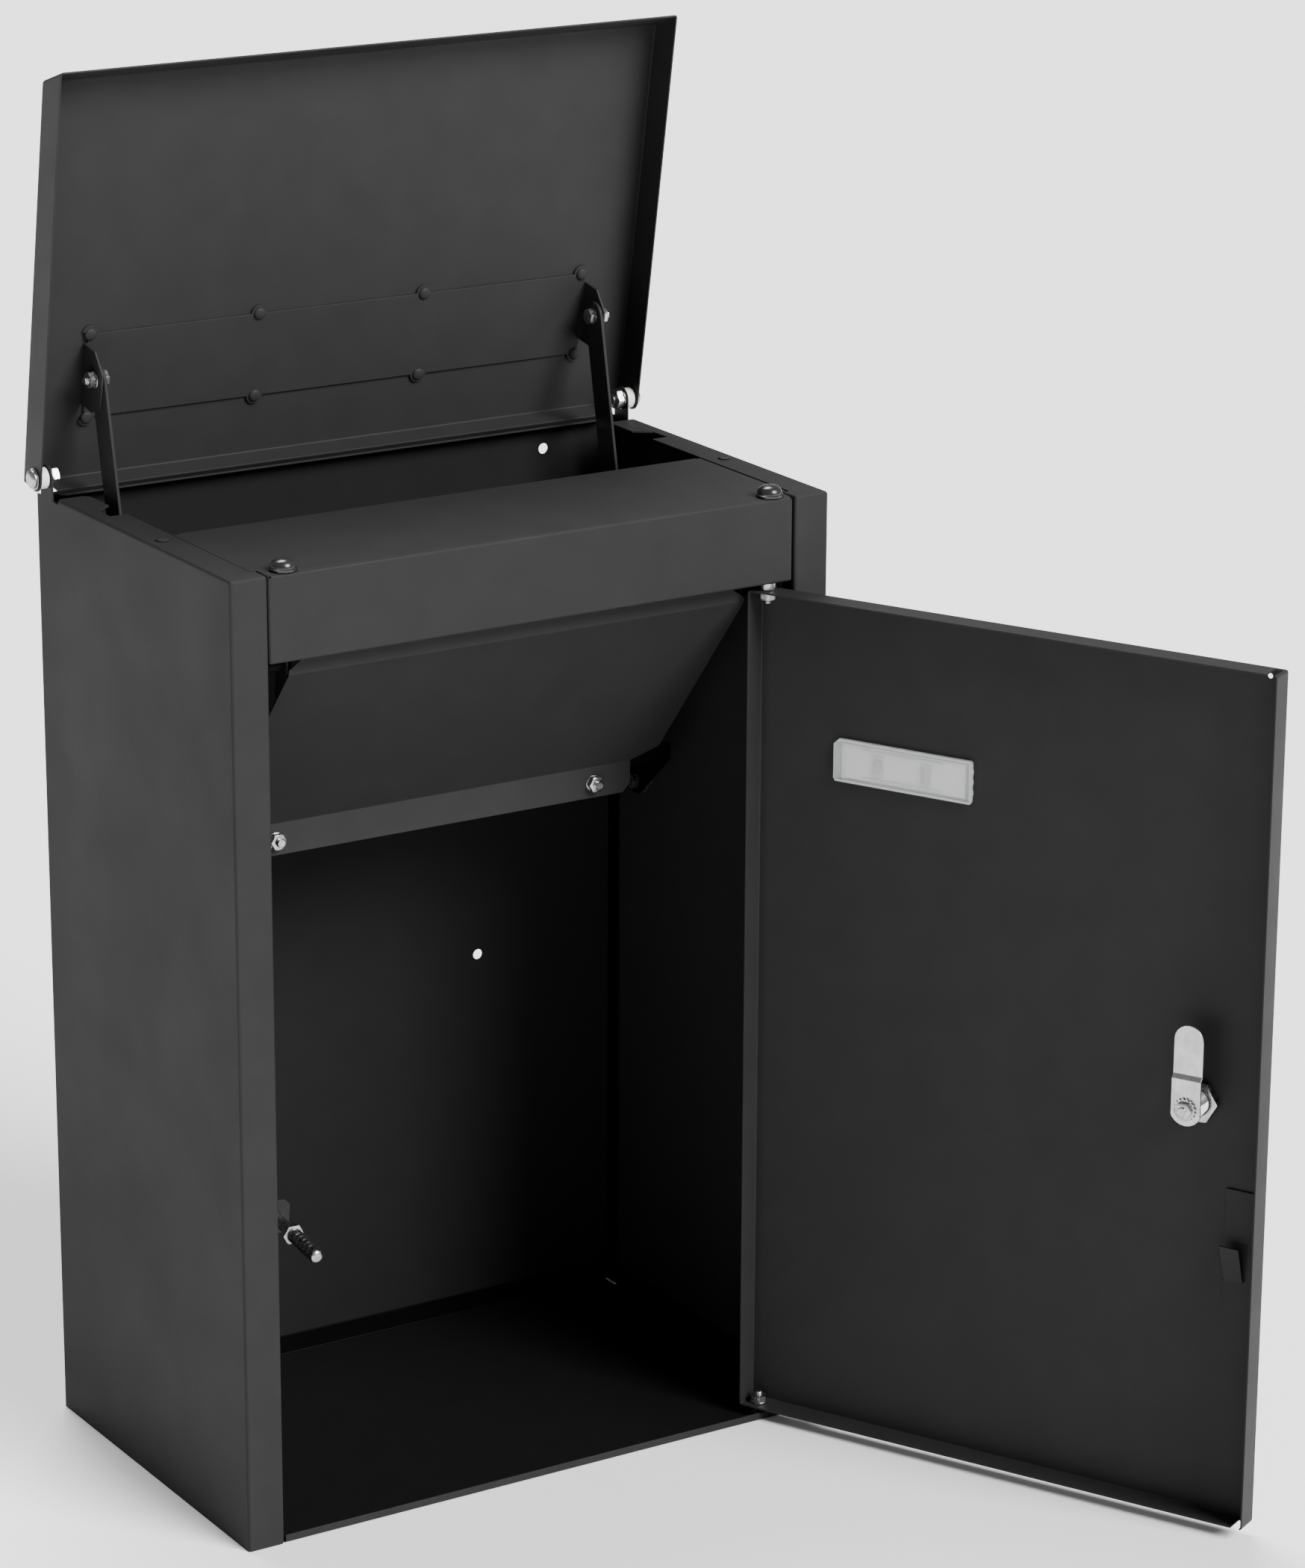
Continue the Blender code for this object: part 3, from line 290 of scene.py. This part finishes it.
# ------------------------------------------------------------ CAD sheet nodes
def smooth_bends():
    """A modifier group that joins the facets and shades the bends smooth."""
    group = bpy.data.node_groups.new("smooth_bends", "GeometryNodeTree")
    group.interface.new_socket("Geometry", in_out="INPUT", socket_type="NodeSocketGeometry")
    group.interface.new_socket("Geometry", in_out="OUTPUT", socket_type="NodeSocketGeometry")
    new = group.nodes.new
    begin, end = new("NodeGroupInput"), new("NodeGroupOutput")
    merge = new("GeometryNodeMergeByDistance")
    smooth, sharp = new("GeometryNodeSetShadeSmooth"), new("GeometryNodeSetShadeSmooth")
    angle, compare = new("GeometryNodeInputMeshEdgeAngle"), new("FunctionNodeCompare")
    merge.inputs["Distance"].default_value = CAD_WELD
    sharp.domain = "EDGE"
    compare.operation = "GREATER_THAN"
    compare.inputs["B"].default_value = CAD_SHARP
    sharp.inputs["Shade Smooth"].default_value = False
    join = group.links.new
    join(begin.outputs[0], merge.inputs["Geometry"])
    join(merge.outputs["Geometry"], smooth.inputs["Geometry"])
    join(smooth.outputs["Geometry"], sharp.inputs["Geometry"])
    join(angle.outputs["Unsigned Angle"], compare.inputs["A"])
    join(compare.outputs["Result"], sharp.inputs["Selection"])
    join(sharp.outputs["Geometry"], end.inputs[0])
    return group


def finish_cad_nodes():
    """Gives every CAD node its finish, smooth bends, softened edges and even flat faces."""
    group = smooth_bends()
    slots = {s["node"]: s["material_slot"] for s in frame["record"]["subparts"]}
    for name, node in NODES.items():
        mesh = node.data
        if "custom_normal" in mesh.attributes:
            mesh.attributes.remove(mesh.attributes["custom_normal"])
        material = FINISHES[slots[name]]
        # The box's sheets take the coat with painted shade inside the box
        if name in BOX_NODES:
            material = BOX_COAT_PAINTED_SHADE
        if name == "lock_cam":
            material = STAMPED
        mesh.materials.clear()
        mesh.materials.append(material)
        modifier = node.modifiers.new("smooth", "NODES")
        modifier.node_group = group
        bevel = node.modifiers.new("edges", "BEVEL")
        bevel.width = CAD_BEVEL
        bevel.segments = 2
        bevel.limit_method = "ANGLE"
        bevel.angle_limit = CAD_SHARP
        bevel.use_clamp_overlap = False
        bevel.harden_normals = True
        weights = node.modifiers.new("weights", "WEIGHTED_NORMAL")
        weights.weight = 100
        weights.keep_sharp = True


# ---------------------------------------------------------- fine small pieces
def hex_radius(corner, angle):
    """Distance from a hexagon's middle to its rim at an angle."""
    turn = angle % math.radians(60) - math.radians(30)
    return corner * math.cos(math.radians(30)) / math.cos(turn)


def quarter_turn(first, steps):
    """Sine and cosine at each step of a quarter turn, from step first to the last."""
    angles = [math.radians(90 * i / steps) for i in range(first, steps + 1)]
    return [(math.sin(a), math.cos(a)) for a in angles]


class Turned:
    """Shells along an axis, made as one piece. Heights are measured along that axis."""

    def __init__(self, frame_matrix, centre, direction, sides=48):
        turn = Vector(direction).to_track_quat("Z", "Y").to_matrix().to_4x4()
        self.matrix = frame_matrix @ Matrix.Translation(centre) @ turn
        self.bm = bmesh.new()
        self.sides = sides

    def ring(self, z, radius):
        """Height and radius are each a number, or a function of the angle."""
        verts = []
        for i in range(self.sides):
            a = 2 * math.pi * i / self.sides
            r = radius(a) if callable(radius) else radius
            height = z(a) if callable(z) else z
            verts.append(self.bm.verts.new((r * math.cos(a), r * math.sin(a), height)))
        return verts

    def shell(self, rings, hollow=False):
        """Joins rings given as height and radius. Hollow joins the last to the first."""
        loops = [self.ring(z, r) for z, r in rings]
        pairs = list(zip(loops, loops[1:]))
        if hollow:
            pairs.append((loops[-1], loops[0]))
        for low, high in pairs:
            for i in range(self.sides):
                j = (i + 1) % self.sides
                self.bm.faces.new((low[i], low[j], high[j], high[i]))
        if not hollow:
            self.bm.faces.new(loops[0])
            self.bm.faces.new(loops[-1])

    def rod(self, z0, z1, r, edge=0.0003):
        """A round bar with both ends chamfered by edge."""
        edge = min(edge, abs(z1 - z0) / 3, r / 2)
        self.shell([(z0, r - edge), (z0 + edge, r), (z1 - edge, r), (z1, r - edge)])

    def dome(self, z0, z1, r, flat):
        """A round head from z0 to z1, flat over that share of its radius."""
        base = z0 + (z1 - z0) * 0.22
        rings = [(z0, r - 0.0002), (z0 + 0.0002, r), (base, r)]
        for rise, reach in quarter_turn(1, 7):
            rings.append((base + (z1 - base) * rise, flat * r + (1 - flat) * r * reach))
        self.shell(rings)

    def washer(self, z0, z1, outer, inner, edge=0.0002):
        self.shell([
            (z0, inner), (z0, outer - edge), (z0 + edge, outer), (z1 - edge, outer),
            (z1, outer - edge), (z1, inner),
        ], hollow=True)

    def star_washer(self, z0, z1, outer, inner):
        """A lock washer with teeth round its rim."""
        teeth, depth, steepness = 16, 0.0009, 2.5

        def rim(a):
            wave = math.cos(a * teeth)
            return outer - depth * (0.5 + 0.5 * max(-1, min(1, wave * steepness)))

        self.shell([
            (z0, inner), (z0, rim), (z1 - 0.0002, rim), (z1, outer - 0.0016), (z1, inner),
        ], hollow=True)

    def hexagon(self, z0, z1, corner, inner=None):
        """A chamfered nut or bolt head, with a hole of radius inner if that is given."""
        trim, slope = 0.985, math.tan(math.radians(28))
        flat = corner * math.cos(math.radians(30))
        edge = flat * trim

        def side(a):
            return min(hex_radius(corner, a), corner * trim)

        def drop(a):
            return (side(a) - edge) * slope

        rings = [(z0, inner)] if inner else []
        rings += [(z0, edge), (lambda a: z0 + drop(a), side)]
        rings += [(lambda a: z1 - drop(a), side), (z1, edge)]
        if inner:
            lead = 0.0004
            rings += [(z1, inner + lead), (z1 - lead, inner)]
        self.shell(rings, hollow=bool(inner))

    def thread(self, z0, z1, r, pitch=0.001):
        """A screw thread that fades in and out, as one helical surface."""
        steps = 8
        count = max(3, round((z1 - z0) / pitch * steps))
        depth = pitch * 0.5
        fade = pitch * 0.8
        core = r - depth - 0.0003
        rings = [(z0, core)]
        for k in range(count + 1):
            z = z0 + (z1 - z0) * k / count

            def radius(a, z=z):
                phase = (z / pitch - a / (2 * math.pi)) % 1
                ramp = min(1, (z - z0) / fade, (z1 - z) / fade)
                crest = 1 - abs(2 * phase - 1)
                return r - depth + depth * min(1, crest * 1.25) * max(0.0, ramp)

            rings.append((z, radius))
        rings.append((z1, core))
        self.shell(rings)

    def nut(self, face, thread_start, thread_end):
        """An M6 washer and nut on a face, with the thread that stands out of it."""
        self.washer(face + GAP, face + WASHER_TOP, HEX_M6, M6)
        self.hexagon(face + WASHER_TOP, face + NUT_TOP, HEX_M6)
        self.thread(face + thread_start, face + thread_end, M6)

    def make(self, name, body, material, slot, *replaced):
        """Adds the piece to the scene, riding on a body in place of CAD nodes."""
        bmesh.ops.recalc_face_normals(self.bm, faces=self.bm.faces)
        mesh = bpy.data.meshes.new(name)
        self.bm.to_mesh(mesh)
        self.bm.free()
        mesh.shade_smooth()
        mesh.set_sharp_from_angle(angle=FINE_SHARP)
        mesh.materials.append(material)
        obj = bpy.data.objects.new(name, mesh)
        obj.matrix_world = self.matrix
        bpy.context.scene.collection.objects.link(obj)
        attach(obj, body)
        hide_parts(*replaced)


def body_fasteners():
    for word, side in SIDES:
        place = (side * RAIL_RIVET[0], RAIL_RIVET[1], HEIGHT)
        rivet = Turned(WORLD, place, (0, 0, 1))
        rivet.rod(-0.0030, GAP, 0.0023)
        rivet.shell([
            (GAP, 0.0039), (GAP + 0.0002, 0.0042), (0.0009, 0.0041), (0.0012, 0.0037),
            (0.0014, 0.0030), (0.0014, 0.0011), (0.0011, 0.0008),
        ])
        rivet.make(
            f"rail_rivet_{word}_fine", "box",
            COAT, "black_powder_coat", f"rail_rivet_{word}",
        )

        bumper = Turned(WORLD, (side * BUMPER_X, BUMPER_Y, HEIGHT), (0, 0, 1))
        bumper.shell([(-0.0045, 0.0016), (-0.0040, 0.0020), (-0.0033, 0.0024), (GAP, 0.0024)])
        shoulder, low, tip, roundness = BUMPER_R - 0.0007, 0.0026, 0.0012, 0.8
        rings = [
            (GAP, BUMPER_R - 0.0004), (0.0006, BUMPER_R), (0.0018, BUMPER_R), (0.0023, shoulder),
        ]
        for rise, reach in quarter_turn(0, 9)[:-1]:
            r = shoulder * reach ** roundness
            rings.append((low + (BUMPER_H - low) * rise, max(r, tip)))
        bumper.shell(rings)
        bumper.make(
            f"bumper_{word}_fine", "box",
            FINISHES["black_rubber"], "black_rubber", f"bumper_{word}",
        )

        hinge = Turned(WORLD, (0, *LID_AXIS), (side, 0, 0))
        inner, outer = HALF_W - SHEET, LID_HALF_W
        hinge.thread(inner - 0.0075, inner - 0.0050, 0.0040, 0.00125)
        hinge.hexagon(inner - 0.0058, inner - GAP - 0.0008, HEX_M8)
        hinge.washer(inner - GAP - 0.0008, inner - GAP, HEX_M8, 0.0042)
        hinge.rod(inner - 0.002, outer + 0.001, 0.0040, 0.0002)
        hinge.washer(outer + GAP, outer + WASHER_TOP, 0.0072, 0.0040)
        hinge.dome(outer + WASHER_TOP, outer + 0.0045, 0.0064, 0.3)
        hinge.make(
            f"lid_hinge_bolt_{word}_fine", "box",
            ZINC, "zinc_plate", f"lid_hinge_bolt_{word}",
        )

        low, high = HALF_W + GAP, LID_HALF_W - SHEET - GAP
        spacer = Turned(WORLD, (0, *LID_AXIS), (side, 0, 0))
        spacer.washer(low, high, 0.0070, 0.0044, 0.0005)
        spacer.make(
            f"lid_hinge_spacer_{word}_fine", "box",
            FINISHES["nylon"], "nylon", f"lid_hinge_spacer_{word}",
        )

        tab_out = JAMB_IN - SHELF_SEAM[side]
        tab_in, ear_in = tab_out - SHEET, BAFFLE_HALF - SHEET
        pin = Turned(WORLD, (0, *BAFFLE_AXIS), (side, 0, 0))
        pin.rod(ear_in - 0.0035, ear_in - GAP, 0.0050, 0.0006)
        pin.rod(ear_in - GAP, tab_out + GAP, M6, 0.0001)
        pin.rod(BAFFLE_HALF + GAP, tab_in - GAP, 0.0045, 0.0003)
        pin.hexagon(tab_out + GAP, tab_out + 0.0040, HEX_M6)
        # The pins take the coat with painted shade, as they sit inside the box
        pin.make(
            f"baffle_hinge_pin_{word}_fine", "box",
            BOX_COAT_PAINTED_SHADE, "black_powder_coat", f"baffle_hinge_pin_{word}",
        )


def strike_stud():
    """The threaded stud inside the left side, with its hexagon and ringed, rounded end."""
    stud = Turned(STUD, (0, 0, 0), (0, -1, 0))
    stud.thread(-0.0105, -0.0070, M6)
    stud.hexagon(-0.0075, -0.0023, HEX_M6)
    stud.rod(-0.0025, GAP + 0.0005, M6, 0.0001)
    stud.shell([(GAP, 0.0041), (GAP + 0.0004, 0.0045), (0.0200, 0.0036)])
    stud.hexagon(0.0200, 0.0250, 0.0075)
    radius, tip, tip_start, tip_length = 0.0050, 0.0012, 0.0548, 0.0032
    groove_start, groove_step, groove_half, groove_r = 0.0315, 0.0045, 0.0004, 0.00478
    rings = [(0.0250, 0.0045), (0.0254, radius)]
    for k in range(5):
        z = groove_start + groove_step * k
        rings += [(z - groove_half, radius), (z, groove_r), (z + groove_half, radius)]
    rings += [(tip_start, radius)]
    for rise, reach in quarter_turn(1, 6):
        rings.append((tip_start + tip_length * rise, tip + (radius - tip) * reach))
    stud.shell(rings)
    stud.make("strike_stud_fine", "box", ZINC, "zinc_plate", "strike_stud")


def lid_fasteners():
    face = LID_TOP - SHEET - GAP - BRACKET
    for row, y in zip(("front", "rear"), BRACKET_Y):
        for number, x in enumerate(RIVET_X, 1):
            rivet = Turned(LID, (x, y, face), (0, 0, -1))
            rivet.rod(-BRACKET, GAP + 0.0002, 0.0021, 0.0001)
            rings = [(GAP, 0.0040), (GAP + 0.0001, 0.0042)]
            for rise, reach in quarter_turn(0, 7):
                rings.append((0.0004 + 0.0016 * rise, 0.0006 + 0.0036 * reach))
            rivet.shell(rings)
            rivet.make(
                f"lid_rivet_{row}_{number}_fine", "lid",
                COAT, "black_powder_coat", f"lid_rivet_{row}_{number}",
            )
    inner = ARM_X[0] - GAP
    for word, side in SIDES:
        bolt = Turned(LID, (0, *LINK_PIVOT), (side, 0, 0))
        bolt.hexagon(inner - 0.0042, inner - 0.0006, HEX_M6)
        bolt.washer(inner - 0.0006, inner, HEX_M6, M6)
        bolt.rod(inner - 0.001, EAR_X + 0.0050, M6, 0.0001)
        bolt.nut(EAR_X, 0.0048, 0.0078)
        bolt.make(
            f"upper_pivot_bolt_{word}_fine", "lid",
            ZINC, "zinc_plate", f"upper_pivot_bolt_{word}",
        )

        nut = Turned(ARM, (0, 0, -ARM_LENGTH), (side, 0, 0))
        nut.rod(ARM_X[0] - GAP, ARM_X[1] + 0.005, M6, 0.0001)
        nut.nut(ARM_X[1], 0.0048, 0.0078)
        nut.make(
            f"lower_pivot_nut_{word}_fine", f"arm_{word}",
            ZINC, "zinc_plate", f"lower_pivot_nut_{word}",
        )


def baffle_fasteners():
    stack = SHEET + GAP + BRACKET
    inner = BAFFLE_EAR_X - BRACKET - GAP
    for word, side in SIDES:
        place = (side * BAFFLE_BOLT[0], BAFFLE_BEND_Y, BAFFLE_BOLT[1])
        bolt = Turned(WORLD, place, (0, -1, 0))
        bolt.hexagon(-stack - 0.0043, -stack - GAP, HEX_M6)
        bolt.rod(-stack - 0.001, 0.005, M6, 0.0001)
        bolt.nut(0, 0.0050, 0.0085)
        bolt.make(
            f"baffle_bolt_{word}_fine", "baffle",
            ZINC, "zinc_plate", f"baffle_bolt_{word}",
        )

        head = Turned(WORLD, (0, *PIVOT_LOW), (side, 0, 0))
        head.hexagon(inner - 0.0042, inner, HEX_M6)
        head.rod(inner - 0.001, BAFFLE_EAR_X + GAP, M6, 0.0002)
        head.make(
            f"lower_pivot_bolt_{word}_fine", "baffle",
            ZINC, "zinc_plate", f"lower_pivot_bolt_{word}",
        )


def door_fasteners():
    bottom, top = DOOR_Z
    collar = 0.0055
    upper = Turned(DOOR, (0, 0, 0), (0, 0, 1))
    upper.hexagon(HEADER_Z + SHEET + GAP, HEADER_Z + SHEET + 0.0040, HEX_M6)
    upper.rod(top - 0.006, HEADER_Z + SHEET + 0.001, M6, 0.0001)
    upper.washer(top + GAP, HEADER_Z - GAP, collar, M6, 0.0004)
    upper.washer(top - SHEET - WASHER_TOP, top - SHEET - GAP, HEX_M6, M6)
    upper.hexagon(top - 0.0065, top - SHEET - WASHER_TOP, HEX_M6)
    upper.thread(top - 0.0090, top - 0.0060, M6)
    upper.make("door_pin_top_fine", "door", ZINC, "zinc_plate", "door_pin_top")

    lower = Turned(DOOR, (0, 0, 0), (0, 0, 1))
    lower.rod(0.0002, bottom + 0.006, M6, 0.0002)
    lower.washer(SHEET + GAP, bottom - GAP, collar, M6, 0.0004)
    lower.washer(bottom + SHEET + GAP, bottom + SHEET + WASHER_TOP, HEX_M6, M6)
    lower.hexagon(bottom + SHEET + WASHER_TOP, bottom + 0.0065, HEX_M6)
    lower.thread(bottom + 0.0060, bottom + 0.0095, M6)
    lower.make("door_pin_bottom_fine", "door", ZINC, "zinc_plate", "door_pin_bottom")


def lock_pieces():
    """The lock's case, nut and screw. Its plug and cam stay as the CAD has them."""
    x, z = LOCK
    inside, hub = DOOR_SKIN + SHEET, DOOR_EDGE + 0.0043
    bore, barrel, root, rim = 0.0068, 0.0094, 0.0089, 0.0110
    case = Turned(DOOR, (x, 0, z), (0, 1, 0), 64)
    rings = [
        (DOOR_SKIN - 0.0025, bore), (DOOR_SKIN - 0.0025, 0.0096), (DOOR_SKIN - 0.0023, 0.0103),
        (DOOR_SKIN - 0.0018, 0.0108), (DOOR_SKIN - 0.0008, rim), (DOOR_SKIN - GAP, rim),
        (DOOR_SKIN - GAP, barrel),
    ]
    start, end, pitch = inside + 0.0062, hub - 0.0030, 0.0011
    turns = int((end - start) / pitch)
    for k in range(turns):
        rings += [(start + pitch * k, barrel), (start + pitch * (k + 0.5), root)]
    rings += [(end, barrel), (hub - 0.0025, 0.0091), (hub - 0.0025, bore)]
    case.shell(rings, hollow=True)
    case.make("lock_case_fine", "door", CHROME, "chrome_plate", "lock_case")

    nut = Turned(DOOR, (x, 0, z), (0, 1, 0), 72)
    nut.hexagon(inside + GAP, inside + 0.0058, 0.0150, 0.0096)
    nut.make("lock_nut_fine", "door", ZINC, "zinc_plate", "lock_nut")

    screw = Turned(DOOR, (x, 0, z), (0, 1, 0), 96)
    washer_top = hub + 0.0015
    screw.rod(hub - 0.0018, hub + 0.004, M6, 0.0001)
    screw.star_washer(hub + GAP, washer_top, 0.0078, M6)
    screw.hexagon(washer_top, hub + 0.0045, 0.0062)
    screw.thread(hub + 0.0040, hub + 0.0060, M6)
    screw.make("lock_cam_screw_fine", "lock", ZINC, "zinc_plate", "lock_cam_screw")


def name_holder():
    """The moulded holder: a plate with a raised rim, ribs and clip pads."""
    left, right = WINDOW_X
    low, high = WINDOW_Z
    edge, inset, corner, rim = 0.0006, 0.0015, 0.004, 0.0016
    # Heights off the door, from the underside up to the top of the rim
    face = DOOR_SKIN + SHEET + GAP
    buried, plate, rib, field = face + 0.0018, face + 0.0020, face + 0.0023, face + 0.0025
    bar, pad, top = face + 0.0026, face + 0.0028, face + 0.003
    bm = bmesh.new()

    def prism(outline, y0, y1):
        near = [bm.verts.new((x, y0, z)) for x, z in outline]
        far = [bm.verts.new((x, y1, z)) for x, z in outline]
        bm.faces.new(near)
        bm.faces.new(far)
        for i in range(len(outline)):
            j = (i + 1) % len(outline)
            bm.faces.new((near[i], near[j], far[j], far[i]))

    def block(x0, x1, z0, z1, y0, y1):
        """A block with its corners cut."""
        cut = 0.0004
        prism([
            (x0 + cut, z0), (x1 - cut, z0), (x1, z0 + cut), (x1, z1 - cut),
            (x1 - cut, z1), (x0 + cut, z1), (x0, z1 - cut), (x0, z0 + cut),
        ], y0, y1)

    prism([
        (left + 0.0018, low), (right - inset, low), (right, low + inset),
        (right, high - corner), (right - corner, high), (left + 0.0018, high),
        (left + edge, high - inset), (left + edge, low + inset),
    ], face, plate)
    block(left + 0.001, right - corner, high - rim, high, buried, top)
    block(left + 0.001, right - inset, low, low + rim, buried, top)
    block(left + edge, left + edge + rim, low + 0.001, high - 0.001, buried, top)
    block(right - 0.0085, right - 0.0070, low + 0.002, high - 0.002, buried, bar)
    for z in (low + 0.006, low + 0.013, low + 0.020):
        block(left, left + 0.0025, z, z + 0.0035, face + GAP, bar)
    middle = (left + right) / 2
    for x in (middle - 0.018, middle + 0.018):
        block(x - 0.0035, x + 0.0035, low + 0.0075, high - 0.0075, buried, field)
        block(x - 0.0020, x + 0.0020, low + 0.0100, high - 0.0100, face + 0.0022, pad)
    rib_half, rib_far, rib_near = 0.030, 0.0053, 0.0045
    block(middle - rib_half, middle + rib_half, low + rib_near, low + rib_far, buried, rib)
    block(middle - rib_half, middle + rib_half, high - rib_far, high - rib_near, buried, rib)
    bmesh.ops.recalc_face_normals(bm, faces=bm.faces)
    mesh = bpy.data.meshes.new("name_window_fine")
    bm.to_mesh(mesh)
    bm.free()
    mesh.materials.append(FINISHES["clear_plastic"])
    obj = bpy.data.objects.new("name_window_fine", mesh)
    obj.matrix_world = DOOR
    bpy.context.scene.collection.objects.link(obj)
    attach(obj, "door")
    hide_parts("name_window")


# --------------------------------------------------------------------- studio
def studio():
    """A pale floor, an even sky, two wide suns and the camera of the photograph."""
    bpy.ops.mesh.primitive_plane_add(size=60, location=(0, 0, -0.0002))
    floor = bpy.context.object
    floor.name = "floor"
    pale = Finish("pale_floor", (0.90, 0.90, 0.90), 0.85)
    pale.set("Specular IOR Level", 0.2)
    floor.data.materials.append(pale.material)

    world = bpy.data.worlds.new("studio")
    bpy.context.scene.world = world
    world.use_nodes = True
    sky = world.node_tree.nodes["Background"]
    sky.inputs["Color"].default_value = (1, 1, 1, 1)
    sky.inputs["Strength"].default_value = 0.32

    def daylight(name, source, strength, spread):
        """Even light over the whole floor from the direction of source."""
        light = bpy.data.lights.new(name, "SUN")
        light.energy = strength
        light.angle = math.radians(spread)
        lamp = bpy.data.objects.new(name, light)
        lamp.rotation_euler = Vector(source).to_track_quat("Z", "Y").to_euler()
        bpy.context.scene.collection.objects.link(lamp)

    daylight("key", (0.38, -1.0, 0.80), 7.8, 30)
    daylight("overhead", (0.1, 0.5, 1.0), 4.0, 30)

    camera_data = bpy.data.cameras.new("camera")
    camera_data.lens = 119.36
    camera_data.sensor_width = 36
    camera_data.clip_start, camera_data.clip_end = 0.05, 80
    camera = bpy.data.objects.new("camera", camera_data)
    camera.location = (-1.6316, -2.8643, 1.4789)
    camera.rotation_euler = (1.2680, -0.0048, -0.5600)
    bpy.context.scene.collection.objects.link(camera)
    bpy.context.scene.camera = camera


finish_cad_nodes()
body_fasteners()
strike_stud()
lid_fasteners()
baffle_fasteners()
door_fasteners()
lock_pieces()
name_holder()
studio()
